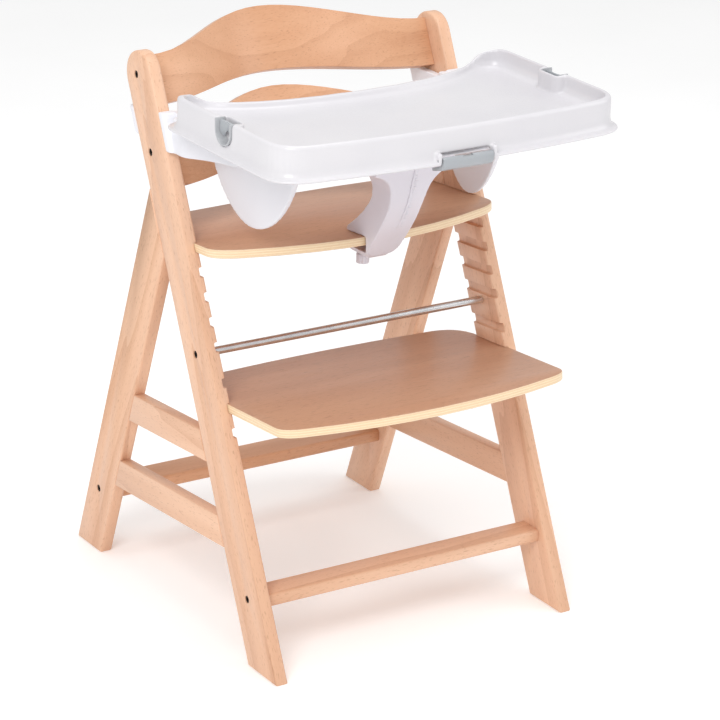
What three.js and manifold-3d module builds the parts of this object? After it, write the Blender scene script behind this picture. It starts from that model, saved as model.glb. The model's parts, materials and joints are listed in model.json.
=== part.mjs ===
// Wooden high chair with a click-on tray: two beech A-frames, bowed backrest boards, a seat and a
// footrest that slide in grooves, and a plastic tray on a base that grips the uprights.
// Millimetres, +Z up; the child faces -Y, x = 0 is the symmetry plane and the floor is z = 0.
import * as THREE from "three";
import { mergeVertices } from "three/addons/utils/BufferGeometryUtils.js";
import Module from "manifold-3d";

const wasm = await Module();
wasm.setup();

// ---------------------------------------------------------------- driving dimensions
const SHIFT_Y = 26.9; // moves the middle of the whole depth to y = 0

const FRAME_WIDTH = 474; // over the outer faces of the uprights
const BOARD = 19; // thickness of uprights and rear legs
const RAIL_BOARD = 18; // thickness of side rails and crossbars
const GAP = 0.3; // air between touching pieces

const UPRIGHT_FRONT = -277.8; // y of the upright's front edge at the floor
const UPRIGHT_BACK = -205.3; // y of its back edge at the floor
const UPRIGHT_LEAN = 0.464; // dy/dz, leaning back
const UPRIGHT_TOP = 762.6;
const LEG_FRONT = 209; // the same for the rear leg, which leans forward
const LEG_BACK = 277.8;
const LEG_LEAN = -0.364;

const RISE = 0.077; // front-up slope of seat, footrest, grooves and side rails
const UPPER_RAIL_TOP = 282.6; // height of a side rail's top edge at y = 0
const LOWER_RAIL_TOP = 173.8;
const RAIL_HEIGHT = 41;

const PLATE = 12; // plywood thickness
const PLATE_HALF = 223.2; // half the width of seat and footrest
const GROOVE_DEPTH = 6;
const GROOVE_HEIGHT = 12.8;
const GROOVE_Y = -60; // the groove heights below are at this y
const SEAT_GROOVE = 529.5;
const FOOT_GROOVE = 328;
const FREE_GROOVES = [498.2, 466.9, 435.6, 404.3, 359.3, 296.7];

const BACKREST = 18; // thickness of a backrest board
const BACKREST_BOW = 80; // how far its middle lies behind its ends
const TOP_BOARD = { bolt: [102, 730], low: 693.5, end: 753.5, arch: 21 };
const LOW_BOARD = { bolt: [62.9, 633.5], low: 591, end: 648, arch: 24 };

const ROD = [-60.2, 390]; // (y, z) of the steel rod
const ROD_RADIUS = 5.5;
const FRONT_BAR = { bolt: [-201, 93.5], y: [-220, -181], z: 84.5 };
const REAR_BAR = { bolt: [213, 97.5], y: [187, 237], z: 88.5 };

const RIM = 739; // top of the tray's rim
const REAR_RIM = 722; // its lower rear rim
const SKIRT_FOOT = 693; // lowest edge of the tray
const WELL_FLOOR = 712;
const CAVITY_TOP = 708.5; // underside of the tray floor
const TRAY_HALF = 257; // half the width at the rim
const FLARE = 9; // how far the lip stands out beyond the rim
const TRAY_WALL = 3.5;

const HALF = FRAME_WIDTH / 2;
const INNER = HALF - BOARD; // x of an upright's inner face
const LEAN_ANGLE = Math.atan(UPRIGHT_LEAN);
const RISE_ANGLE = Math.atan(RISE);

// ---------------------------------------------------------------- solids
function solid(geometry) {
  const bare = geometry.index ? geometry.toNonIndexed() : geometry.clone();
  bare.deleteAttribute("normal");
  bare.deleteAttribute("uv");
  const merged = mergeVertices(bare, 1e-3);
  return new wasm.Manifold(
    new wasm.Mesh({
      numProp: 3,
      vertProperties: new Float32Array(merged.attributes.position.array),
      triVerts: new Uint32Array(merged.index.array),
    }),
  );
}

function geometryOf(manifold) {
  const m = manifold.getMesh();
  const points = new Float32Array(m.numVert * 3);
  for (let i = 0; i < m.numVert; i++) {
    points.set(m.vertProperties.subarray(i * m.numProp, i * m.numProp + 3), i * 3);
  }
  const geometry = new THREE.BufferGeometry();
  geometry.setAttribute("position", new THREE.BufferAttribute(points, 3));
  geometry.setIndex(new THREE.BufferAttribute(new Uint32Array(m.triVerts), 1));
  return geometry;
}

const cut = (body, ...tools) => tools.reduce((a, tool) => a.subtract(tool), body);
const join = (body, ...others) => others.reduce((a, other) => a.add(other), body);
const moved = (body, matrix) => solid(geometryOf(body).applyMatrix4(matrix));

// The same solid on the other side of x = 0.
function mirrored(body) {
  const geometry = geometryOf(body).applyMatrix4(new THREE.Matrix4().makeScale(-1, 1, 1));
  const index = geometry.index.array;
  for (let i = 0; i < index.length; i += 3) {
    [index[i + 1], index[i + 2]] = [index[i + 2], index[i + 1]];
  }
  return solid(geometry);
}

const bothSides = (body) => join(body, mirrored(body));

// Extrusion along +Z from z = low to high. A bevel rounds both ends; with a flare the outline
// widens towards both ends instead, in a hollow curve.
function extrude(shape, low, high, { bevel = 0, flare = 0, tall = bevel, segments = 5 } = {}) {
  return new THREE.ExtrudeGeometry(shape, {
    depth: high - low - 2 * tall,
    bevelEnabled: tall > 0,
    bevelThickness: tall,
    bevelSize: bevel - flare,
    bevelOffset: flare - bevel,
    bevelSegments: flare ? 4 : 2,
    curveSegments: segments,
  }).translate(0, 0, low + tall);
}

// Prisms of an (x, y), a (y, z) and an (x, z) outline.
const planPrism = (shape, zLow, zHigh, options) => solid(extrude(shape, zLow, zHigh, options));

function sidePrism(shape, xLow, xHigh, options) {
  const turn = new THREE.Matrix4().set(0, 0, 1, 0, 1, 0, 0, 0, 0, 1, 0, 0, 0, 0, 0, 1);
  return solid(extrude(shape, xLow, xHigh, options).applyMatrix4(turn));
}

function frontPrism(shape, yLow, yHigh, options) {
  return solid(extrude(shape, -yHigh, -yLow, options).rotateX(Math.PI / 2));
}

function box([xLow, xHigh], [yLow, yHigh], [zLow, zHigh]) {
  const geometry = new THREE.BoxGeometry(xHigh - xLow, yHigh - yLow, zHigh - zLow);
  return solid(
    geometry.translate((xLow + xHigh) / 2, (yLow + yHigh) / 2, (zLow + zHigh) / 2),
  );
}

// Cylinder along "x" or "z" between two end coordinates; centre holds the other two.
function rod(axis, radius, [low, high], centre, sides = 16) {
  const geometry = new THREE.CylinderGeometry(radius, radius, high - low, sides);
  if (axis === "x") geometry.rotateZ(Math.PI / 2).translate((low + high) / 2, ...centre);
  else geometry.rotateX(Math.PI / 2).translate(...centre, (low + high) / 2);
  return solid(geometry);
}

// Outline through corners [a, b, radius], each corner rounded by a quadratic curve.
function outline(corners) {
  const shape = new THREE.Shape();
  corners.forEach(([a, b, radius = 0], i) => {
    const here = new THREE.Vector2(a, b);
    const towards = (j) => {
      const [c, d] = corners[(j + corners.length) % corners.length];
      return new THREE.Vector2(c, d).sub(here).setLength(radius).add(here);
    };
    const start = radius ? towards(i - 1) : here;
    if (i) shape.lineTo(start.x, start.y);
    else shape.moveTo(start.x, start.y);
    if (radius) shape.quadraticCurveTo(a, b, towards(i + 1).x, towards(i + 1).y);
  });
  shape.closePath();
  return shape;
}

// Leans a solid back with the uprights, each level sliding to the rear by its height.
const leaned = (body) =>
  moved(body, new THREE.Matrix4().makeShear(0, 0, 0, 0, 0, UPRIGHT_LEAN));

// ---------------------------------------------------------------- side frames
const edgeY = (foot, lean, z) => foot + lean * z;

// Point where an edge y = foot + lean * z meets a rising line of height top at y = 0.
function onRise(foot, lean, top) {
  const z = (top - RISE * foot) / (1 + RISE * lean);
  return [edgeY(foot, lean, z), z];
}

// An upright's side outline, grown all round; its top is a half round.
function uprightOutline(grow = 0) {
  const radius = ((UPRIGHT_BACK - UPRIGHT_FRONT) / 2) * Math.cos(LEAN_ANGLE);
  const z = UPRIGHT_TOP - radius;
  const y = edgeY((UPRIGHT_FRONT + UPRIGHT_BACK) / 2, UPRIGHT_LEAN, z);
  const side = grow / Math.cos(LEAN_ANGLE);
  const shape = new THREE.Shape();
  shape.moveTo(edgeY(UPRIGHT_FRONT, UPRIGHT_LEAN, -grow) - side, -grow);
  shape.lineTo(edgeY(UPRIGHT_BACK, UPRIGHT_LEAN, -grow) + side, -grow);
  shape.absarc(y, z, radius + grow, -LEAN_ANGLE, Math.PI - LEAN_ANGLE, false);
  shape.closePath();
  return shape;
}

// Round-cornered slot in the inner face, rising to the front.
function groove(height, yLow, yHigh) {
  const section = outline([
    [INNER - 2, -GROOVE_HEIGHT / 2],
    [INNER + GROOVE_DEPTH, -GROOVE_HEIGHT / 2, 2.5],
    [INNER + GROOVE_DEPTH, GROOVE_HEIGHT / 2, 2.5],
    [INNER - 2, GROOVE_HEIGHT / 2],
  ]);
  const bar = frontPrism(section, yLow, yHigh, { segments: 3 });
  return moved(bar, risingAt(height));
}

// Turns a level solid to the rise, about the line y = GROOVE_Y at the given height.
const risingAt = (height) =>
  new THREE.Matrix4()
    .makeTranslation(0, GROOVE_Y, height)
    .multiply(new THREE.Matrix4().makeRotationX(-RISE_ANGLE))
    .multiply(new THREE.Matrix4().makeTranslation(0, -GROOVE_Y, 0));

// Bolts through the side frames: (y, z), how far past the inner face they reach.
const BOLTS = {
  backrest_top: { at: TOP_BOARD.bolt, reach: 34 },
  backrest_low: { at: LOW_BOARD.bolt, reach: 34 },
  steel_rod: { at: ROD, reach: 26 },
  front_bar: { at: FRONT_BAR.bolt, reach: 34 },
  rear_bar: { at: REAR_BAR.bolt, reach: 34 },
};
const BOLT_RADIUS = 3;
const HEAD_RADIUS = 5;
const HEAD_HEIGHT = 4;
const HEAD_RECESS = 1.2; // below the outer face
const HOLE_PLAY = 0.4;

const boltShaft = (name, radius, extra) => {
  const { at, reach } = BOLTS[name];
  return rod("x", radius, [INNER - reach - extra, HALF - HEAD_RECESS - 2], at);
};

function boltHole(name) {
  const top = HALF - HEAD_RECESS - HEAD_HEIGHT - GAP;
  return join(
    boltShaft(name, BOLT_RADIUS + HOLE_PLAY, 2),
    rod("x", HEAD_RADIUS + HOLE_PLAY, [top, HALF + 1], BOLTS[name].at, 20),
  );
}

function bolt(name) {
  const top = HALF - HEAD_RECESS;
  const socket = new THREE.CylinderGeometry(2.7, 2.7, 6, 6);
  socket.rotateZ(Math.PI / 2).translate(top, ...BOLTS[name].at);
  return join(
    boltShaft(name, BOLT_RADIUS, 0),
    rod("x", HEAD_RADIUS, [top - HEAD_HEIGHT, top], BOLTS[name].at, 20),
  ).subtract(solid(socket));
}

const DOWEL_RADIUS = 4;
const DOWEL_LENGTH = 36;

// Dowels that hold a side frame together: centre (y, z) and the angle of the dowel's line.
function dowelPlaces() {
  const upper = UPPER_RAIL_TOP - RAIL_HEIGHT / 2;
  const lower = LOWER_RAIL_TOP - RAIL_HEIGHT / 2;
  return {
    upper_rail_front_dowel: [...onRise(UPRIGHT_BACK, UPRIGHT_LEAN, upper), RISE_ANGLE],
    upper_rail_rear_dowel: [...onRise(LEG_FRONT, LEG_LEAN, upper), RISE_ANGLE],
    lower_rail_front_dowel: [...onRise(UPRIGHT_BACK, UPRIGHT_LEAN, lower), RISE_ANGLE],
    lower_rail_rear_dowel: [...onRise(LEG_FRONT, LEG_LEAN, lower), RISE_ANGLE],
    leg_dowel: [edgeY(UPRIGHT_BACK, UPRIGHT_LEAN, 545), 545, LEAN_ANGLE],
  };
}

function dowel([y, z, angle], play = 0) {
  const length = DOWEL_LENGTH + 4 * play;
  const geometry = new THREE.CylinderGeometry(
    DOWEL_RADIUS + play, DOWEL_RADIUS + play, length, 14,
  );
  return solid(geometry.rotateX(-angle).translate(HALF - RAIL_BOARD / 2, y, z));
}

const dowelHoles = () => Object.values(dowelPlaces()).map((place) => dowel(place, GAP));

function upright() {
  const grooves = [SEAT_GROOVE, FOOT_GROOVE, ...FREE_GROOVES].map((z) => groove(z, -300, 120));
  const holes = ["backrest_top", "backrest_low", "steel_rod", "front_bar"].map(boltHole);
  const board = sidePrism(uprightOutline(), INNER, HALF, { bevel: 3, segments: 16 });
  return cut(board, ...grooves, ...holes, ...dowelHoles());
}

function rearLeg() {
  const meet = (foot) => {
    const z = (foot - UPRIGHT_BACK) / (UPRIGHT_LEAN - LEG_LEAN);
    return [edgeY(foot, LEG_LEAN, z), z];
  };
  const legSide = outline([[LEG_FRONT, 0], [LEG_BACK, 0], meet(LEG_BACK), meet(LEG_FRONT)]);
  return cut(
    sidePrism(legSide, INNER, HALF, { bevel: 2.5 }),
    sidePrism(uprightOutline(GAP), INNER - 2, HALF + 2, { segments: 16 }),
    groove(SEAT_GROOVE, -30, 140),
    boltHole("rear_bar"),
    ...dowelHoles(),
  );
}

function sideRail(top) {
  const low = top - RAIL_HEIGHT;
  const railSide = outline([
    onRise(UPRIGHT_BACK + GAP, UPRIGHT_LEAN, low),
    onRise(LEG_FRONT - GAP, LEG_LEAN, low),
    onRise(LEG_FRONT - GAP, LEG_LEAN, top),
    onRise(UPRIGHT_BACK + GAP, UPRIGHT_LEAN, top),
  ]);
  const rail = sidePrism(railSide, HALF - RAIL_BOARD, HALF, { bevel: 2 });
  return cut(rail, ...dowelHoles());
}

// ---------------------------------------------------------------- crossbars, rod, backrest
const NUT_RADIUS = 5;
const NUT_LENGTH = 13;
const NUT_X = INNER - 22;

// Barrel nut across a bolt; the angle turns it from upright to square with a leaning board.
function barrelNut(name, angle, play = 0) {
  const radius = NUT_RADIUS + play;
  const geometry = new THREE.CylinderGeometry(radius, radius, NUT_LENGTH + 2 * play, 16);
  const back = angle === SQUARE_TO_BACK ? 2 : 0; // keeps clear of a backrest's bowed front face
  geometry.translate(0, back, 0).rotateX(angle).translate(NUT_X, ...BOLTS[name].at);
  const nut = solid(geometry);
  return play ? nut : nut.subtract(boltShaft(name, BOLT_RADIUS + HOLE_PLAY, 2));
}

const STANDING = Math.PI / 2;
const SQUARE_TO_BACK = -LEAN_ANGLE;

// Hole for a barrel nut, run out to one face so that the nut can be put in.
function nutPocket(name, angle, drop) {
  const out = new THREE.Matrix4().makeTranslation(
    0, Math.cos(angle) * drop, Math.sin(angle) * drop,
  );
  const nut = barrelNut(name, angle, GAP);
  return join(nut, moved(nut, out));
}

function crossbar(name, { y, z }) {
  const section = outline([
    [y[0], z, 4], [y[1], z, 4], [y[1], z + RAIL_BOARD, 4], [y[0], z + RAIL_BOARD, 4],
  ]);
  const end = INNER - GAP;
  const bar = sidePrism(section, -end, end, { segments: 3 });
  return cut(bar, bothSides(boltShaft(name, BOLT_RADIUS + HOLE_PLAY, 2)),
    bothSides(nutPocket(name, STANDING, -8)));
}

function steelRod() {
  const end = INNER - GAP;
  const hole = boltShaft("steel_rod", BOLT_RADIUS + HOLE_PLAY, 2);
  return cut(rod("x", ROD_RADIUS, [-end, end], ROD, 24), bothSides(hole));
}

const BOW_STEPS = 24;

// Board bowed to the rear with a crowned top edge, leaning with the uprights; its edges are cut
// square to its faces.
function backrestBoard(name, { bolt: [y, z], low, end, arch }) {
  const half = INNER - GAP;
  const wave = (x) => (1 + Math.cos((Math.PI * x) / INNER)) / 2;
  const xs = Array.from({ length: BOW_STEPS + 1 }, (_, i) => half * ((2 * i) / BOW_STEPS - 1));
  const middle = y - UPRIGHT_LEAN * z;
  const faceAt = (x, side) => {
    const slope = (BACKREST_BOW / 2) * (Math.PI / INNER) * Math.sin((Math.PI * x) / INNER);
    const spread = (BACKREST / 2 / Math.cos(LEAN_ANGLE)) * Math.hypot(1, slope);
    return [x, middle + BACKREST_BOW * wave(x) + side * spread];
  };
  const plan = outline([
    ...xs.map((x) => faceAt(x, -1)),
    ...xs.toReversed().map((x) => faceAt(x, 1)),
  ]);
  const square = UPRIGHT_LEAN / (1 + UPRIGHT_LEAN ** 2); // fall per mm to the rear, before leaning
  const edge = (height) => (x) => [x, height(x) + square * BACKREST_BOW * wave(x)];
  const face = outline([
    ...xs.map(edge(() => low)),
    ...xs.toReversed().map(edge((x) => end + arch * wave(x))),
  ]);
  const front = middle - BACKREST / 2 / Math.cos(LEAN_ANGLE);
  const squareCut = new THREE.Matrix4()
    .makeTranslation(0, front, 0)
    .multiply(new THREE.Matrix4().makeShear(0, 0, 0, -square, 0, 0));
  const window = moved(frontPrism(face, -60, 160), squareCut);
  const board = leaned(planPrism(plan, low - 80, end + 80).intersect(window));
  return cut(board, bothSides(boltShaft(name, BOLT_RADIUS + HOLE_PLAY, 2)),
    bothSides(nutPocket(name, SQUARE_TO_BACK, 9)));
}

// ---------------------------------------------------------------- seat and footrest
// Plywood plate with a bowed front edge and round corners, in its grooves.
function plate(height, front, bow, corner, rear, rearBow, rearCorner) {
  const w = PLATE_HALF;
  const side = w - corner;
  const turn = front + (corner * 2 * bow) / side; // where the arc's tangent meets the side
  const shape = new THREE.Shape();
  shape.moveTo(-side, front);
  shape.quadraticCurveTo(0, front - 2 * bow, side, front);
  shape.quadraticCurveTo(w, turn, w, turn + corner * 0.6);
  shape.lineTo(w, rear - rearCorner);
  shape.quadraticCurveTo(w, rear, w - rearCorner, rear);
  shape.quadraticCurveTo(0, rear + 2 * rearBow, rearCorner - w, rear);
  shape.quadraticCurveTo(-w, rear, -w, rear - rearCorner);
  shape.lineTo(-w, turn + corner * 0.6);
  shape.quadraticCurveTo(-w, turn, -side, front);
  const level = planPrism(shape, -PLATE / 2, PLATE / 2, { bevel: 1.5, segments: 8 });
  return moved(level, risingAt(height));
}

// ---------------------------------------------------------------- tray
// Plan of the tray at its rim, grown (or shrunk) all round.
function trayPlan(grow) {
  const w = TRAY_HALF + grow;
  const corner = 44 + grow * 0.5;
  const side = w - corner;
  const front = -308 - grow;
  const bow = 12;
  const turn = front + (corner * 2 * bow) / side;
  const rear = -22 + grow;
  const shape = new THREE.Shape();
  shape.moveTo(-side, front);
  shape.quadraticCurveTo(0, front - 2 * bow, side, front);
  shape.quadraticCurveTo(w, turn, w, turn + corner);
  shape.lineTo(w, rear - 34);
  shape.quadraticCurveTo(w, rear, w - 34, rear);
  shape.bezierCurveTo(w - 58, rear, 175, rear - 50, 0, rear - 50);
  shape.bezierCurveTo(-175, rear - 50, 58 - w, rear, 34 - w, rear);
  shape.quadraticCurveTo(-w, rear, -w, rear - 34);
  shape.lineTo(-w, turn + corner);
  shape.quadraticCurveTo(-w, turn, -side, front);
  return shape;
}

const RECESS_Y = [-181, -142]; // the side recess, open at the rim
const RECESS_FLOOR = 705;
const POCKET = TRAY_HALF - 17; // x of the recess's back wall

// U-shaped outline in a side wall, open at the top.
function recessShape(grow) {
  const radius = (RECESS_Y[1] - RECESS_Y[0]) / 2 - grow;
  const y = (RECESS_Y[0] + RECESS_Y[1]) / 2;
  const z = RECESS_FLOOR + grow + radius;
  const shape = new THREE.Shape();
  shape.moveTo(y - radius, RIM + 12);
  shape.lineTo(y - radius, z);
  shape.absarc(y, z, radius, Math.PI, 2 * Math.PI, false);
  shape.lineTo(y + radius, RIM + 12);
  shape.closePath();
  return shape;
}

const LEVER_HALF = 38;
const LEVER_PIN = [-326, 699.5]; // (y, z)
const LEVER_PIN_RADIUS = 1.5;
const DECK_HALF = 158;
const FLANGE_HALF = 165;

// Inverted-L rail under the tray floor that hooks under the base's flange.
function trayRail() {
  const section = outline([
    [FLANGE_HALF + GAP, CAVITY_TOP + 1],
    [FLANGE_HALF + GAP, 700],
    [DECK_HALF + 2, 700],
    [DECK_HALF + 2, 696.5],
    [FLANGE_HALF + 4, 696.5],
    [FLANGE_HALF + 4, CAVITY_TOP + 1],
  ]);
  return frontPrism(section, -285, -90);
}

function tray() {
  const lip = planPrism(trayPlan(FLARE), SKIRT_FOOT, SKIRT_FOOT + 4, { bevel: 1, segments: 8 });
  const flareOut = planPrism(trayPlan(0), SKIRT_FOOT + 3, 730, { flare: FLARE, tall: 13, segments: 8 });
  const shell = join(
    planPrism(trayPlan(0), 703, RIM, { bevel: 5, segments: 8 }),
    cut(flareOut, box([-300, 300], [-400, 50], [712, 740])),
    lip,
  );
  const well = planPrism(trayPlan(-7), WELL_FLOOR, RIM + 30, { bevel: 11, segments: 8 });
  const under = cut(
    planPrism(trayPlan(-TRAY_WALL), SKIRT_FOOT - 0.4, 735, { flare: FLARE, tall: 13, segments: 8 }),
    box([-300, 300], [-400, 50], [CAVITY_TOP, 745]),
  );
  const rearDip = new THREE.Shape();
  rearDip.moveTo(-246, RIM + 20);
  rearDip.lineTo(-246, RIM + 0.5);
  rearDip.bezierCurveTo(-220, RIM + 0.5, -222, REAR_RIM, -190, REAR_RIM);
  rearDip.lineTo(190, REAR_RIM);
  rearDip.bezierCurveTo(222, REAR_RIM, 220, RIM + 0.5, 246, RIM + 0.5);
  rearDip.lineTo(246, RIM + 20);
  rearDip.closePath();
  const [y, z] = LEVER_PIN;
  const housing = planPrism(
    outline([
      [TRAY_HALF - 21, -187, 15], [TRAY_HALF - 3, -189],
      [TRAY_HALF - 3, -134], [TRAY_HALF - 21, -136, 15],
    ]), CAVITY_TOP, RIM - 1,
  );
  const boss = box([LEVER_HALF + GAP, LEVER_HALF + 7], [y - 3, y + 9], [z - 4, CAVITY_TOP + 1]);
  const sideView = sidePrism(
    outline([[-400, 680], [-10, 680], [-14, 706], [-21, RIM, 24], [-400, RIM]]), -300, 300,
  );
  return cut(
    join(
      cut(shell, well, under).intersect(sideView),
      bothSides(housing),
      bothSides(trayRail()),
      bothSides(boss),
    ),
    frontPrism(rearDip, -118, 20),
    box([-178, 178], [-120, 20], [680, CAVITY_TOP]),
    box([-LEVER_HALF - GAP, LEVER_HALF + GAP], [-350, y + 12], [685, 706]),
    bothSides(sidePrism(recessShape(0), POCKET, TRAY_HALF + 26, { segments: 12 })),
    rod("x", LEVER_PIN_RADIUS + 0.1, [-LEVER_HALF - 7, LEVER_HALF + 7], LEVER_PIN, 12),
  );
}

// ---------------------------------------------------------------- tray controls
const BEZEL = 2.2;
const BUTTON_X = [POCKET + 8, POCKET + 12.5];

function buttonBezel() {
  const ring = sidePrism(recessShape(GAP), POCKET + 4, TRAY_HALF + 1.5, { bevel: 0.6, segments: 12 });
  return cut(ring, sidePrism(recessShape(BEZEL + GAP), POCKET, TRAY_HALF + 9, { segments: 12 }),
    box([POCKET, TRAY_HALF + 9], [-220, -120], [RIM - 1.5, RIM + 20]));
}

function button() {
  const plug = sidePrism(recessShape(BEZEL + 2 * GAP), ...BUTTON_X, { bevel: 0.8, segments: 12 });
  const boss = rod("x", 5.5, [BUTTON_X[0] - 1.5, BUTTON_X[0] + 1], BUTTON_MID, 16);
  const scoop = new THREE.CylinderGeometry(26, 26, 60, 32);
  scoop.rotateX(Math.PI / 2).rotateY(0.25).translate(BUTTON_X[1] + 22.5, BUTTON_MID[0], 726);
  return cut(join(plug, boss), solid(scoop), box([POCKET, TRAY_HALF], [-220, -120], [RIM - 4, RIM + 20]));
}

const BUTTON_MID = [(RECESS_Y[0] + RECESS_Y[1]) / 2, 724];

// Coil of round wire about a line along x.
class Coil extends THREE.Curve {
  constructor(radius, xLow, xHigh, turns, [y, z]) {
    super();
    Object.assign(this, { radius, xLow, xHigh, turns, y, z });
  }

  getPoint(t) {
    const angle = 2 * Math.PI * this.turns * t;
    return new THREE.Vector3(
      this.xLow + (this.xHigh - this.xLow) * t,
      this.y + this.radius * Math.cos(angle),
      this.z + this.radius * Math.sin(angle),
    );
  }
}

function wire(curve, radius, steps) {
  const section = new THREE.Shape().absarc(0, 0, radius, 0, 2 * Math.PI, false);
  return solid(new THREE.ExtrudeGeometry(section, {
    steps, bevelEnabled: false, curveSegments: 3, extrudePath: curve,
  }));
}

const buttonSpring = () => wire(new Coil(3.6, POCKET + 0.8, POCKET + 5.7, 3, BUTTON_MID), 0.4, 30);
const leverSpring = () => wire(new Coil(2.7, -6, 6, 5, LEVER_PIN), 0.5, 50);

function releaseLever() {
  const [y, z] = LEVER_PIN;
  const blade = sidePrism(outline([
    [y - 4.5, z + 2.5], [y + 3.5, z + 2.5], [y + 3.5, z - 9], [y + 22, z - 15],
    [y + 21, z - 19], [y - 1, z - 13], [y - 5.6, z - 6],
  ]), -LEVER_HALF + 0.2, LEVER_HALF - 0.2, { bevel: 0.6, segments: 3 });
  return cut(
    join(blade, rod("x", 3.8, [-LEVER_HALF + 0.2, LEVER_HALF - 0.2], LEVER_PIN, 20)),
    rod("x", LEVER_PIN_RADIUS + 0.25, [-50, 50], LEVER_PIN, 16),
    box([-7, 7], [y - 3.6, y + 5], [z - 4, z + 6]),
  );
}

const leverPin = () => rod("x", LEVER_PIN_RADIUS, [-LEVER_HALF - 6, LEVER_HALF + 6], LEVER_PIN, 12);

// ---------------------------------------------------------------- tray base
// Leg shield beside the child's thigh, tapering towards its round foot.
function wing() {
  const shape = new THREE.Shape();
  shape.moveTo(-1, 692);
  shape.bezierCurveTo(-6, 606, -53, 562, -87, 562);
  shape.bezierCurveTo(-131, 562, -173, 612, -187, 692);
  shape.closePath();
  const taper = outline([[0, 550], [4, 550], [11.5, 695], [0, 695]]);
  const blade = sidePrism(shape, -5, 20, { segments: 14 }).intersect(
    frontPrism(taper, -220, 60),
  );
  const spread = new THREE.Matrix4()
    .makeTranslation(178, 0, 0)
    .multiply(new THREE.Matrix4().makeShear(0, 0, 0.15, 0, 0, 0));
  return moved(blade, spread);
}

// Slide deck under the tray floor, with a hooked flange along each side.
function deck() {
  const shape = new THREE.Shape();
  shape.moveTo(-DECK_HALF, -270);
  shape.quadraticCurveTo(-DECK_HALF, -288, -DECK_HALF + 18, -288);
  shape.lineTo(DECK_HALF - 18, -288);
  shape.quadraticCurveTo(DECK_HALF, -288, DECK_HALF, -270);
  shape.lineTo(DECK_HALF, -56);
  shape.bezierCurveTo(120, -56, 70, -98, 0, -98);
  shape.bezierCurveTo(-70, -98, -120, -56, -DECK_HALF, -56);
  shape.closePath();
  const slide = CAVITY_TOP - GAP;
  return join(
    planPrism(shape, 690, 695, { bevel: 1 }),
    bothSides(box([DECK_HALF - 2, 174], [-200, -60], [690, 694])),
    bothSides(box([DECK_HALF - 6, DECK_HALF], [-266, -62], [692, slide])),
    bothSides(box([DECK_HALF - 6, FLANGE_HALF], [-266, -100], [700 + GAP, 704])),
  );
}

// Jaws that grip an upright between the two backrest boards, and the arm from the deck.
function clip() {
  const front = UPRIGHT_FRONT - 0.5;
  const back = UPRIGHT_BACK + 0.5;
  const inner = INNER - 0.4;
  const jaws = planPrism(outline([
    [206, front - 13, 5], [232, front - 13, 7], [232, front, 2], [inner, front, 1],
    [inner, back, 1], [236.5, back, 2], [236.5, back + 11, 5], [206, back + 11, 4],
  ]), 649, 684, { bevel: 1 });
  const pad = planPrism(outline([
    [215, front - 13.8, 6], [237.4, front - 13.8, 7], [237.4, front - 0.3, 2], [215, front - 0.3, 2],
  ]), 646, 694, { bevel: 1 });
  const arm = planPrism(outline([
    [158, -84, 8], [192, -84, 14], [208, -40, 20], [231, -14, 10], [231, 18, 8], [216, 24, 2],
    [216, 48, 2], [206, 48, 2], [202, 4, 14], [176, -18, 14], [158, -18, 4],
  ]), 645, 691.2, { bevel: 1 });
  const clear = sidePrism(uprightOutline(0.4), inner, 260, { segments: 16 });
  return join(leaned(join(jaws, pad)), cut(arm, clear));
}

const POST_HALF = 26;
const JAW_HALF = 13;
const PLUG = { x: 40, y: [-208, -164] }; // the post's plug in the deck
const JAW_TOP = 517;
const SCREW = [0, -92]; // (x, y) of the clamp screw

function trayBase() {
  const across = [-PLUG.x - GAP, PLUG.x + GAP];
  const socket = box(across, [PLUG.y[0] - GAP, PLUG.y[1] + GAP], [680, 700]);
  const side = join(wing(), clip());
  return cut(join(deck(), side, mirrored(side)), socket).simplify(0.02);
}

// Crotch post: hooks over the seat's front edge and widens under the deck.
function crotchPost() {
  const above = (y) => SEAT_GROOVE + PLATE / 2 + RISE * (GROOVE_Y - y) + 0.5;
  const throat = -137.2;
  const side = outline([
    [-222, 690 - GAP], [-211, 655, 20], [-203, 628, 14], [-196, 604, 16], [-178, 570, 20],
    [-150, 533, 16], [-130, 506, 12], [-78, 506, 5], [-78, JAW_TOP, 5], [-131, JAW_TOP, 5],
    [throat, 526, 4], [throat, above(throat), 1], [-90, above(-90), 1], [-91, 545, 2],
    [-122, 568, 24], [-154, 604, 20], [-153, 660, 20], [-150, 690 - GAP],
  ]);
  const front = new THREE.Shape();
  front.moveTo(-JAW_HALF, 495);
  front.lineTo(JAW_HALF, 495);
  front.lineTo(JAW_HALF, 512);
  front.quadraticCurveTo(POST_HALF, 514, POST_HALF, 534);
  front.lineTo(POST_HALF, 592);
  front.bezierCurveTo(POST_HALF + 2, 628, 34, 640, 60, 648);
  front.lineTo(60, 705);
  front.lineTo(-60, 705);
  front.lineTo(-60, 648);
  front.bezierCurveTo(-34, 640, -POST_HALF - 2, 628, -POST_HALF, 592);
  front.lineTo(-POST_HALF, 534);
  front.quadraticCurveTo(-POST_HALF, 514, -JAW_HALF, 512);
  front.closePath();
  const body = sidePrism(side, -70, 70, { segments: 6 }).intersect(
    frontPrism(front, -300, -60, { segments: 8 }),
  );
  const plug = box([-PLUG.x, PLUG.x], PLUG.y, [680, 700]);
  return cut(join(body, plug), rod("z", 4.4, [500, JAW_TOP + 5], SCREW, 16)).simplify(0.02);
}

// ---------------------------------------------------------------- seat clamp
const clampPad = () => rod("z", 9, [521.1, 524.8], SCREW, 24);
const clampScrew = () => rod("z", 4, [496, 520.8], SCREW, 16);

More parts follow.
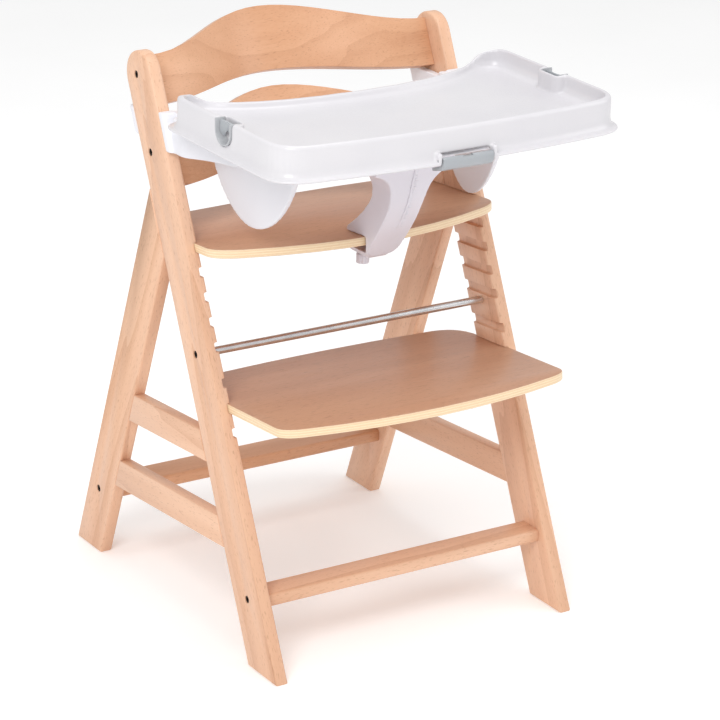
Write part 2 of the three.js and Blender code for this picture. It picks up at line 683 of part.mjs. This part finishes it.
function clampKnob() {
  const knob = rod("z", 8.8, [489.5, 502.5], SCREW, 24);
  const flutes = Array.from({ length: 8 }, (_, i) => {
    const angle = (i * Math.PI) / 4;
    const centre = [10.2 * Math.cos(angle), SCREW[1] + 10.2 * Math.sin(angle)];
    return rod("z", 2.4, [480, 510], centre, 10);
  });
  return cut(knob, ...flutes, rod("z", 4 + GAP, [495.5, 510], SCREW, 16));
}

// ---------------------------------------------------------------- assembly
const COLOURS = {
  beech: 0xe2bd94, plywood: 0xc79a78, dowel: 0xdcc09a, steel: 0xb9bbbd, dark_steel: 0x3a3a3c,
  white: 0xf2f2f4, grey: 0xdcd8d9, lever_grey: 0xb4b9bc,
};

const group = new THREE.Group();

function add(name, body, colour) {
  const material = new THREE.MeshStandardMaterial({ color: COLOURS[colour], flatShading: true });
  const mesh = new THREE.Mesh(geometryOf(body).translate(0, SHIFT_Y, 0), material);
  mesh.name = name;
  group.add(mesh);
}

function addPair(name, body, colour) {
  add(`${name}_right`, body, colour);
  add(`${name}_left`, mirrored(body), colour);
}

addPair("upright", upright(), "beech");
addPair("rear_leg", rearLeg(), "beech");
addPair("upper_rail", sideRail(UPPER_RAIL_TOP), "beech");
addPair("lower_rail", sideRail(LOWER_RAIL_TOP), "beech");
add("front_crossbar", crossbar("front_bar", FRONT_BAR), "beech");
add("rear_crossbar", crossbar("rear_bar", REAR_BAR), "beech");
add("steel_rod", steelRod(), "steel");
add("backrest_top", backrestBoard("backrest_top", TOP_BOARD), "beech");
add("backrest_low", backrestBoard("backrest_low", LOW_BOARD), "beech");
add("seat_plate", plate(SEAT_GROOVE, -98, 38, 38, 120, 7, 44), "plywood");
add("footrest_plate", plate(FOOT_GROOVE, -269, 25, 30, 5, 7, 56), "plywood");
for (const name of Object.keys(BOLTS)) addPair(`${name}_bolt`, bolt(name), "dark_steel");
for (const name of ["front_bar", "rear_bar"]) {
  addPair(`${name}_nut`, barrelNut(name, STANDING), "steel");
}
for (const name of ["backrest_top", "backrest_low"]) {
  addPair(`${name}_nut`, barrelNut(name, SQUARE_TO_BACK), "steel");
}
for (const [name, place] of Object.entries(dowelPlaces())) addPair(name, dowel(place), "dowel");

add("tray", tray(), "white");
add("tray_base", trayBase(), "white");
add("crotch_post", crotchPost(), "grey");
add("clamp_knob", clampKnob(), "grey");
add("clamp_screw", clampScrew(), "steel");
add("clamp_pad", clampPad(), "grey");
add("release_lever", releaseLever(), "lever_grey");
add("lever_pin", leverPin(), "steel");
add("lever_spring", leverSpring(), "steel");
addPair("side_button", button(), "lever_grey");
addPair("button_bezel", buttonBezel(), "grey");
addPair("button_spring", buttonSpring(), "steel");

export default group;
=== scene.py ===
"""Looks of the wooden high chair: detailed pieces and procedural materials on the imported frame."""
import json
import math

import bmesh
import bpy
from mathutils import Matrix, Vector
from mathutils.bvhtree import BVHTree


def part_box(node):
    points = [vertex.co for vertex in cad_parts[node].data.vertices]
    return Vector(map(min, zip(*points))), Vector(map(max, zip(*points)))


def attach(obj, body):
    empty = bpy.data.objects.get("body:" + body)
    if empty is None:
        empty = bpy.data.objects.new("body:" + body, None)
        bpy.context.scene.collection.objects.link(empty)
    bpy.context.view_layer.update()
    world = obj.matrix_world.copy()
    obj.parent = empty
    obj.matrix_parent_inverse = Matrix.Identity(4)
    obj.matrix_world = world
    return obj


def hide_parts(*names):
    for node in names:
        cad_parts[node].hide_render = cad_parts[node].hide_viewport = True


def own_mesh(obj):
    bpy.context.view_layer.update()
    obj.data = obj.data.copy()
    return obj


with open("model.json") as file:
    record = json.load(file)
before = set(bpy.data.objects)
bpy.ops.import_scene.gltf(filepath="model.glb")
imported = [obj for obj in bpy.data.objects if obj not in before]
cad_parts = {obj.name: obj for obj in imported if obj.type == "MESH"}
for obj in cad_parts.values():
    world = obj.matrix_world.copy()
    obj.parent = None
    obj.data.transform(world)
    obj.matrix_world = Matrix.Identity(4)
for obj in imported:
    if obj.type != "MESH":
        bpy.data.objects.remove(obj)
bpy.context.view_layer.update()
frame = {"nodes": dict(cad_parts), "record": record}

MM = 0.001
LEAN = math.atan(0.464)  # the uprights lean back by this angle
LEG_LEAN = -math.atan(0.364)  # the rear legs lean forward
RISE = math.atan(0.077)  # seat, footrest and side rails rise to the front

# Turns that lay the z axis of a wood's grain along its board.
UPWARD = (LEAN, 0, 0)
LEGWARD = (LEG_LEAN, 0, 0)
LENGTHWISE = (math.pi / 2 + RISE, 0, 0)
CROSSWISE = (0, math.pi / 2, 0)

SIDES = ("right", "left")
EDGE = 0.4 * MM  # rounding of a sawn or moulded edge
FINE_EDGE = 0.3 * MM  # rounding of small parts
PLY_LAYER = 3.4 * MM  # a light and a dark layer of the plywood together


# ------------------------------------------------------------------------------ material helpers
def linear(red, green, blue):
    """An sRGB colour out of 255 as linear RGBA."""
    def channel(value):
        value /= 255
        return value / 12.92 if value <= 0.04045 else ((value + 0.055) / 1.055) ** 2.4
    return (channel(red), channel(green), channel(blue), 1.0)


class Graph:
    """A material's node tree, with short calls to add and link nodes."""

    def __init__(self, name):
        self.material = bpy.data.materials.new(name)
        self.material.use_nodes = True
        self.tree = self.material.node_tree
        self.shader = self.tree.nodes["Principled BSDF"]

    def set(self, **values):
        """Sets the shader's own sockets; a word's underscores stand for spaces."""
        for word, value in values.items():
            self.feed(self.shader, word.replace("_", " "), value)

    def feed(self, node, socket, value):
        target = node.inputs[socket]
        if isinstance(value, bpy.types.NodeSocket):
            self.tree.links.new(value, target)
        else:
            target.default_value = value

    def add(self, kind, inputs=None, **settings):
        node = self.tree.nodes.new(kind)
        for key, value in settings.items():
            setattr(node, key, value)
        for socket, value in (inputs or {}).items():
            self.feed(node, socket, value)
        return node

    def place(self, turn=(0, 0, 0), scale=(1, 1, 1), shift=(0, 0, 0)):
        """The piece's own coordinates in metres, turned, then moved and scaled."""
        local = self.add("ShaderNodeTexCoord").outputs["Object"]
        turned = self.add("ShaderNodeMapping", {"Vector": local, "Rotation": turn})
        moved = self.add(
            "ShaderNodeMapping",
            {"Vector": turned.outputs[0], "Scale": scale, "Location": shift},
        )
        return moved.outputs[0]

    def noise(self, where, scale, detail=2.0, rough=0.5):
        inputs = {"Vector": where, "Scale": scale, "Detail": detail, "Roughness": rough}
        return self.add("ShaderNodeTexNoise", inputs).outputs["Fac"]

    def ramp(self, value, *stops):
        """Colour ramp through (position, colour) stops."""
        node = self.add("ShaderNodeValToRGB", {"Fac": value})
        ramp = node.color_ramp
        while len(ramp.elements) < len(stops):
            ramp.elements.new(1.0)
        for element, (position, colour) in zip(ramp.elements, stops):
            element.position = position
            element.color = colour
        return node.outputs["Color"]

    def levels(self, value, low, high, out_low=0.0, out_high=1.0):
        """The value's range low to high, stretched to out_low to out_high and held there."""
        node = self.add(
            "ShaderNodeMapRange",
            {"Value": value, 1: low, 2: high, 3: out_low, 4: out_high},
        )
        return node.outputs["Result"]

    def mix(self, share, first, second):
        """The first colour where share is 0 and the second where it is 1."""
        node = self.add("ShaderNodeMix", data_type="RGBA")
        self.feed(node, 0, share)
        self.feed(node, 6, first)
        self.feed(node, 7, second)
        return node.outputs[2]

    def maths(self, operation, first, second=0.0):
        node = self.add("ShaderNodeMath", operation=operation)
        self.feed(node, 0, first)
        self.feed(node, 1, second)
        return node.outputs[0]

    def bump(self, height, distance, strength=1.0, under=None):
        inputs = {"Height": height, "Distance": distance, "Strength": strength}
        node = self.add("ShaderNodeBump", inputs)
        if under is not None:
            self.feed(node, "Normal", under)
        return node.outputs["Normal"]


# ------------------------------------------------------------------------------ wood
# Beech from its deepest to its lightest tone.
PALE = (linear(213, 164, 131), linear(228, 184, 153), linear(237, 197, 168))
WARM = (linear(197, 142, 105), linear(213, 161, 124), linear(224, 175, 139))
FLECK = linear(158, 106, 72)


def beech(name, turn, seed, tones=PALE):
    """Lacquered beech with its grain along the turned z axis."""
    g = Graph(name)
    shift = (seed * 0.37, seed * 0.61, seed * 0.23)
    along = g.place(turn, (1, 1, 0.09), shift)
    fine = g.place(turn, (1, 1, 0.035), shift)
    short = g.place(turn, (1, 1, 0.16), shift)
    tone = g.noise(along, 16, 3, 0.55)
    rings = g.add(
        "ShaderNodeTexWave",
        {"Vector": along, "Scale": 11, "Distortion": 7.5, "Detail": 2.5, "Detail Scale": 1.4},
        wave_type="BANDS", bands_direction="DIAGONAL", wave_profile="SAW",
    ).outputs["Fac"]
    fibres = g.noise(fine, 620, 3, 0.6)
    flecks = g.levels(g.noise(short, 760, 1.5), 0.60, 0.70)
    body = g.ramp(tone, (0.25, tones[0]), (0.5, tones[1]), (0.78, tones[2]))
    ringed = g.mix(g.levels(rings, 0.5, 1.0, 0.0, 0.34), body, linear(188, 132, 94))
    fibrous = g.mix(g.levels(fibres, 0.35, 0.7, 0.0, 0.14), ringed, linear(238, 198, 166))
    colour = g.mix(g.maths("MULTIPLY", flecks, 0.34), fibrous, FLECK)
    grain = g.bump(fibres, 0.00012, 0.35)
    g.set(
        Base_Color=colour, Roughness=g.levels(fibres, 0.3, 0.7, 0.36, 0.5),
        Normal=g.bump(flecks, 0.00008, 0.3, grain),
        Coat_Weight=0.18, Coat_Roughness=0.28, IOR=1.45,
    )
    return g.material


def plywood(name, node, seed):
    """Veneered plywood: brown face veneer, pale layered edge."""
    low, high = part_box(node)
    middle = (low + high) / 2
    g = Graph(name)
    shift = (seed * 0.41, seed * 0.29, seed * 0.53)
    along = g.place(CROSSWISE, (1, 1, 0.10), shift)
    fine = g.place(CROSSWISE, (1, 1, 0.03), shift)
    tone = g.noise(along, 13, 3, 0.55)
    fibres = g.noise(fine, 560, 3, 0.6)
    pores = g.levels(g.noise(g.place(CROSSWISE, (1, 1, 0.12), shift), 700, 1.5), 0.6, 0.7)
    face = g.ramp(
        tone, (0.25, linear(187, 136, 105)), (0.5, linear(200, 150, 119)),
        (0.78, linear(212, 164, 132)),
    )
    face = g.mix(g.levels(fibres, 0.35, 0.7, 0.0, 0.16), face, linear(212, 168, 140))
    face = g.mix(g.maths("MULTIPLY", pores, 0.4), face, linear(138, 92, 68))
    # The layers lie square to the plate, which rises to the front.
    level = g.place((RISE, 0, 0))
    height = g.add("ShaderNodeSeparateXYZ", {"Vector": level}).outputs["Z"]
    start = middle.y * math.sin(RISE) + middle.z * math.cos(RISE)
    wobble = g.maths("MULTIPLY", g.noise(g.place((0, 0, 0), (6, 6, 40)), 30, 1), 0.0006)
    depth = g.maths("SUBTRACT", g.maths("ADD", height, wobble), start)
    # The added whole number keeps the fraction's argument above zero.
    layer = g.maths("FRACT", g.maths("ADD", g.maths("DIVIDE", depth, PLY_LAYER), 50.0))
    edge = g.ramp(
        layer, (0.0, linear(228, 196, 156)), (0.44, linear(242, 217, 182)),
        (0.5, linear(206, 167, 124)), (0.56, linear(248, 229, 198)),
        (0.94, linear(242, 216, 178)), (1.0, linear(204, 164, 122)),
    )
    streak = g.noise(g.place((RISE, 0, 0), (1, 1, 14)), 130, 3)
    edge = g.mix(g.levels(streak, 0.35, 0.7, 0.0, 0.3), edge, linear(224, 192, 150))
    facing = g.add("ShaderNodeSeparateXYZ", {
        "Vector": g.add("ShaderNodeNewGeometry").outputs["True Normal"],
    }).outputs["Z"]
    on_face = g.levels(g.maths("ABSOLUTE", facing), 0.72, 0.9)
    colour = g.mix(on_face, edge, face)
    g.set(
        Base_Color=colour, Roughness=g.levels(fibres, 0.3, 0.7, 0.34, 0.5),
        Normal=g.bump(fibres, 0.0001, 0.3), Coat_Weight=0.15, Coat_Roughness=0.3, IOR=1.45,
    )
    return g.material


# ------------------------------------------------------------------------------ plastic and metal
def plastic(name, colour, shade, rough, coat=0.0, grain=0.00002):
    """Moulded plastic: a fine skin texture, faint clouding of the tone and a little unevenness."""
    g = Graph(name)
    where = g.place()
    skin = g.noise(where, 1900, 2, 0.6)
    cloud = g.noise(where, 9, 2, 0.5)
    waves = g.noise(where, 38, 1, 0.4)
    g.set(
        Base_Color=g.mix(g.levels(cloud, 0.35, 0.7), colour, shade),
        Roughness=g.levels(skin, 0.3, 0.7, rough - 0.04, rough + 0.05),
        Normal=g.bump(skin, grain, 0.5, g.bump(waves, 0.00022, 0.35)),
        Coat_Weight=coat, Coat_Roughness=0.12, IOR=1.5, Subsurface_Weight=0.04,
        Subsurface_Radius=(0.004, 0.004, 0.004), Subsurface_Scale=1.0,
    )
    return g.material


def metal(name, colour, shade, rough, brush=(1, 1, 1)):
    """Steel, brushed where the noise is stretched."""
    g = Graph(name)
    lines = g.noise(g.place(scale=brush), 900, 3, 0.6)
    patches = g.noise(g.place(), 60, 2)
    g.set(
        Base_Color=g.mix(g.levels(patches, 0.3, 0.7), colour, shade), Metallic=1.0,
        Roughness=g.levels(lines, 0.3, 0.7, rough - 0.07, rough + 0.08),
        Normal=g.bump(lines, 0.00003, 0.35),
    )
    return g.material


# ------------------------------------------------------------------------------ pieces
def shaped(node, bevel=0.0, rounds=2, voxel=0.0, smooth=0, angle=38):
    """A detailed mesh on a CAD node's shape: edges rounded by a bevel, or the whole skin
    remeshed and relaxed as a moulding."""
    mesh = frame["nodes"][node].data.copy()
    mesh.materials.clear()
    work = bmesh.new()
    work.from_mesh(mesh)
    bmesh.ops.remove_doubles(work, verts=work.verts, dist=2e-6)
    if not voxel:
        bmesh.ops.dissolve_limit(
            work, angle_limit=math.radians(0.6), verts=work.verts, edges=work.edges,
        )
    work.to_mesh(mesh)
    work.free()
    piece = bpy.data.objects.new(f"{node}_piece", mesh)
    bpy.context.scene.collection.objects.link(piece)
    if voxel:
        remesh = piece.modifiers.new("skin", "REMESH")
        remesh.mode = "VOXEL"
        remesh.voxel_size = voxel
        relax = piece.modifiers.new("relax", "SMOOTH")
        relax.factor = 0.5
        relax.iterations = smooth
    if bevel:
        edges = piece.modifiers.new("edges", "BEVEL")
        edges.width = bevel
        edges.segments = rounds
        edges.limit_method = "ANGLE"
        edges.angle_limit = math.radians(50)
        edges.use_clamp_overlap = True
    bpy.context.view_layer.update()
    evaluated = piece.evaluated_get(bpy.context.evaluated_depsgraph_get())
    final = bpy.data.meshes.new_from_object(evaluated)
    piece.modifiers.clear()
    piece.data = final
    final.shade_smooth()
    if not voxel:
        final.set_sharp_from_angle(angle=math.radians(angle))
    return piece


def dress(piece, node, material):
    """The piece stands for the CAD node, rides on its body and wears the material."""
    piece.data.materials.clear()
    piece.data.materials.append(material)
    body = next(b for b, nodes in frame["record"]["behaviour"]["bodies"].items() if node in nodes)
    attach(piece, body)
    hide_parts(node)


def paint(node, material):
    """Gives a CAD node that stays visible its material."""
    mesh = frame["nodes"][node].data
    mesh.materials.clear()
    mesh.materials.append(material)


def dress_boards():
    grains = {
        "upright": UPWARD, "rear_leg": LEGWARD, "upper_rail": LENGTHWISE, "lower_rail": LENGTHWISE,
    }
    seed = 1
    for name, turn in grains.items():
        for side in SIDES:
            node = f"{name}_{side}"
            material = beech(f"beech_{node}", turn, seed)
            dress(shaped(node, EDGE), node, material)
            seed += 1
    for node, tones in (("front_crossbar", PALE), ("rear_crossbar", WARM)):
        material = beech(f"beech_{node}", CROSSWISE, seed, tones)
        dress(shaped(node, EDGE), node, material)
        seed += 1
    for node in ("backrest_top", "backrest_low"):
        material = beech(f"beech_{node}", CROSSWISE, seed, WARM)
        dress(shaped(node, 2.6 * MM, 4, angle=30), node, material)
        seed += 1
    for seed, node in enumerate(("seat_plate", "footrest_plate"), 3):
        dress(shaped(node, EDGE), node, plywood(f"plywood_{node}", node, seed))


def keeled(piece):
    """Raises a soft keel down the middle of the crotch post's front, fading out at its foot."""
    low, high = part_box("crotch_post")
    width, rise = 23 * MM, 2.4 * MM
    foot, crown = low.z + 0.16 * (high.z - low.z), low.z + 0.30 * (high.z - low.z)
    for vertex in piece.data.vertices:
        at, normal = vertex.co, vertex.normal
        if normal.y > -0.2 or at.z > high.z - 12 * MM:
            continue
        across = max(0.0, 1.0 - abs(at.x) / width)
        up = min(1.0, max(0.0, (at.z - foot) / (crown - foot)))
        vertex.co = at + normal * (rise * across * up)
    return piece


def ribbed(piece):
    """Lays a fine rib along the keel of the crotch post's front."""
    low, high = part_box("crotch_post")
    # The rib's section in millimetres: across it, and out from the skin.
    section = ((-1.7, 0), (-1.5, 1.3), (-0.9, 1.9), (0.9, 1.9), (1.5, 1.3), (1.7, 0))
    sunk = 0.3  # how far its foot lies under the skin
    skin = bmesh.new()
    skin.from_mesh(piece.data)
    tree = BVHTree.FromBMesh(skin)
    foot, crown, stations = low.z + 0.24 * (high.z - low.z), high.z - 13 * MM, 40
    line = []
    for i in range(stations + 1):
        height = foot + (crown - foot) * i / stations
        hit, _, _, _ = tree.ray_cast(Vector((0, low.y - 0.1, height)), Vector((0, 1, 0)))
        line.append(hit)
    rings = []
    for i, at in enumerate(line):
        along = line[min(i + 1, stations)] - line[max(i - 1, 0)]
        out = Vector((1, 0, 0)).cross(along).normalized()
        if out.y > 0:
            out.negate()
        swell = min(1.0, 4 * i / stations)
        rings.append([
            skin.verts.new(at + Vector((x, 0, 0)) * MM + out * (h * swell - sunk) * MM)
            for x, h in section
        ])
    faces = [skin.faces.new(rings[0]), skin.faces.new(rings[-1])]
    for lower, upper in zip(rings, rings[1:]):
        for i in range(len(lower)):
            j = (i + 1) % len(lower)
            faces.append(skin.faces.new((lower[i], lower[j], upper[j], upper[i])))
    bmesh.ops.recalc_face_normals(skin, faces=faces)
    skin.to_mesh(piece.data)
    skin.free()
    piece.data.shade_smooth()
    return piece


def dress_plastics():
    white = plastic("tray_white", linear(216, 214, 217), linear(211, 209, 213), 0.3, 0.2)
    base = plastic("base_white", linear(230, 230, 235), linear(225, 225, 231), 0.4)
    post = plastic("warm_grey", linear(223, 219, 227), linear(217, 213, 221), 0.42)
    lever = plastic("lever_grey", linear(168, 172, 176), linear(156, 160, 165), 0.36)
    trim = plastic("trim_grey", linear(178, 180, 183), linear(164, 166, 170), 0.3, 0.2)
    voxel = 1.3 * MM
    dress(shaped("tray", voxel=voxel, smooth=20), "tray", white)
    dress(shaped("tray_base", voxel=voxel, smooth=6), "tray_base", base)
    front = ribbed(keeled(shaped("crotch_post", voxel=voxel, smooth=10)))
    dress(front, "crotch_post", post)
    for node in ("clamp_knob", "clamp_pad"):
        dress(shaped(node, 0.5 * MM), node, post)
    dress(shaped("release_lever", EDGE), "release_lever", lever)
    for side in SIDES:
        button, bezel = f"side_button_{side}", f"button_bezel_{side}"
        dress(shaped(button, FINE_EDGE), button, lever)
        dress(shaped(bezel, FINE_EDGE), bezel, trim)


def steel_rod(material):
    """The cross rod as a fine round bar with chamfered ends."""
    low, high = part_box("steel_rod")
    centre = (low + high) / 2
    radius = (high.z - low.z) / 2
    work = bmesh.new()
    bmesh.ops.create_cone(
        work, cap_ends=True, segments=64, radius1=radius, radius2=radius,
        depth=high.x - low.x,
        matrix=Matrix.Translation(centre) @ Matrix.Rotation(math.pi / 2, 4, "Y"),
    )
    rims = [e for e in work.edges if e.calc_face_angle(0) > 1]
    bmesh.ops.bevel(work, geom=rims, offset=0.5 * MM, segments=2, affect="EDGES")
    mesh = bpy.data.meshes.new("steel_rod_piece")
    work.to_mesh(mesh)
    work.free()
    mesh.shade_smooth()
    mesh.set_sharp_from_angle(angle=math.radians(35))
    piece = bpy.data.objects.new("steel_rod_piece", mesh)
    bpy.context.scene.collection.objects.link(piece)
    dress(piece, "steel_rod", material)


def coil(node, material, turns, wire, wall=None):
    """A spring of round wire along x, on the CAD spring's box. With a wall, its x, the piece
    gets a mesh of its own."""
    low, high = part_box(node)
    middle = (low + high) / 2
    radius = (high.z - low.z) / 2 - wire
    start, end = low.x + wire, high.x - wire
    steps = turns * 28  # points along the wire
    line = bpy.data.curves.new(f"{node}_line", "CURVE")
    line.dimensions = "3D"
    line.bevel_depth = wire
    line.bevel_resolution = 4
    line.use_fill_caps = True
    spline = line.splines.new("POLY")
    spline.points.add(steps)
    for i, point in enumerate(spline.points):
        share = i / steps
        angle = 2 * math.pi * turns * share
        point.co = (
            start + (end - start) * share,
            middle.y + radius * math.cos(angle), middle.z + radius * math.sin(angle), 1.0,
        )
    source = bpy.data.objects.new("source", line)
    bpy.context.scene.collection.objects.link(source)
    bpy.context.view_layer.update()
    depsgraph = bpy.context.evaluated_depsgraph_get()
    mesh = bpy.data.meshes.new_from_object(source.evaluated_get(depsgraph))
    bpy.data.objects.remove(source)
    mesh.shade_smooth()
    piece = bpy.data.objects.new(f"{node}_piece", mesh)
    bpy.context.scene.collection.objects.link(piece)
    dress(piece, node, material)
    if wall is not None:
        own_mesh(piece)


def dress_metal():
    brushed = metal("steel", linear(226, 226, 227), linear(212, 213, 215), 0.28, (0.03, 1, 1))
    black = metal("dark_steel", linear(52, 48, 47), linear(38, 35, 34), 0.42)
    zinc = metal("zinc_steel", linear(196, 198, 200), linear(178, 181, 184), 0.34)
    dowels = beech("dowel_wood", LENGTHWISE, 21)
    steel_rod(brushed)
    coil("lever_spring", zinc, 5, 0.5 * MM)
    coil("button_spring_right", zinc, 3, 0.4 * MM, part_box("button_spring_right")[0].x)
    coil("button_spring_left", zinc, 3, 0.4 * MM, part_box("button_spring_left")[1].x)
    slots = {"dark_steel": black, "zinc_steel": zinc, "dowel_wood": dowels}
    bolt_ends = tuple(f"bolt_{side}" for side in SIDES)
    for row in frame["record"]["subparts"]:
        node, slot = row["node"], row["material_slot"]
        if slot not in slots or "spring" in node:
            continue
        if node.endswith(bolt_ends):
            dress(shaped(node, FINE_EDGE), node, slots[slot])
        else:
            paint(node, slots[slot])


# ------------------------------------------------------------------------------ stage
def camera():
    """A long lens, to the front left of the chair and a little above it."""
    azimuth, elevation, roll = math.radians(-32.92), math.radians(20.72), math.radians(1.55)
    target = Vector((0.0, -0.0651, 0.3500))
    distance = 4.21  # metres
    back = Vector((
        math.sin(azimuth) * math.cos(elevation),
        -math.cos(azimuth) * math.cos(elevation),
        math.sin(elevation),
    ))
    right = (-back).cross(Vector((0, 0, 1))).normalized()
    up = right.cross(-back)
    right, up = (
        right * math.cos(roll) + up * math.sin(roll),
        up * math.cos(roll) - right * math.sin(roll),
    )
    data = bpy.data.cameras.new("camera")
    data.lens = 156.25
    data.sensor_width = 36.0
    data.clip_end = 60.0
    view = bpy.data.objects.new("camera", data)
    turn = Matrix((right, up, back)).transposed().to_4x4()
    view.matrix_world = Matrix.Translation(target + back * distance) @ turn
    bpy.context.scene.collection.objects.link(view)
    bpy.context.scene.camera = view


def softbox(name, place, size, power):
    """A round area lamp aimed at the middle of the chair."""
    aim = Vector((0, 0, 0.4))
    data = bpy.data.lights.new(name, "AREA")
    data.shape = "DISK"
    data.size = size
    data.energy = power
    lamp = bpy.data.objects.new(name, data)
    lamp.location = place
    lamp.rotation_euler = (aim - Vector(place)).to_track_quat("-Z", "Y").to_euler()
    bpy.context.scene.collection.objects.link(lamp)


def studio():
    """A white floor, a white sky and three softboxes."""
    work = bmesh.new()
    bmesh.ops.create_grid(work, x_segments=1, y_segments=1, size=30)
    mesh = bpy.data.meshes.new("floor")
    work.to_mesh(mesh)
    work.free()
    floor = bpy.data.objects.new("floor", mesh)
    floor.location.z = -0.5 * MM
    bpy.context.scene.collection.objects.link(floor)
    g = Graph("floor")
    mottle = g.noise(g.place(), 3, 3)
    dull, bright = (0.93, 0.93, 0.93, 1), (0.95, 0.95, 0.95, 1)
    g.set(
        Base_Color=g.mix(g.levels(mottle, 0.3, 0.7), dull, bright),
        Roughness=0.9, Specular_IOR_Level=0.1,
        Emission_Color=(1, 1, 1, 1), Emission_Strength=0.16,
    )
    mesh.materials.append(g.material)
    world = bpy.data.worlds.new("studio")
    world.use_nodes = True
    sky = world.node_tree.nodes["Background"]
    sky.inputs["Color"].default_value = (1.0, 1.0, 1.0, 1.0)
    sky.inputs["Strength"].default_value = 0.68
    bpy.context.scene.world = world
    bpy.context.scene.view_settings.view_transform = "Standard"
    softbox("key", (-2.6, -2.2, 3.0), 2.0, 74)
    softbox("top", (0.2, -0.2, 3.6), 2.2, 30)
    softbox("side", (2.6, -1.6, 1.6), 1.8, 16)


dress_boards()
dress_plastics()
dress_metal()
camera()
studio()
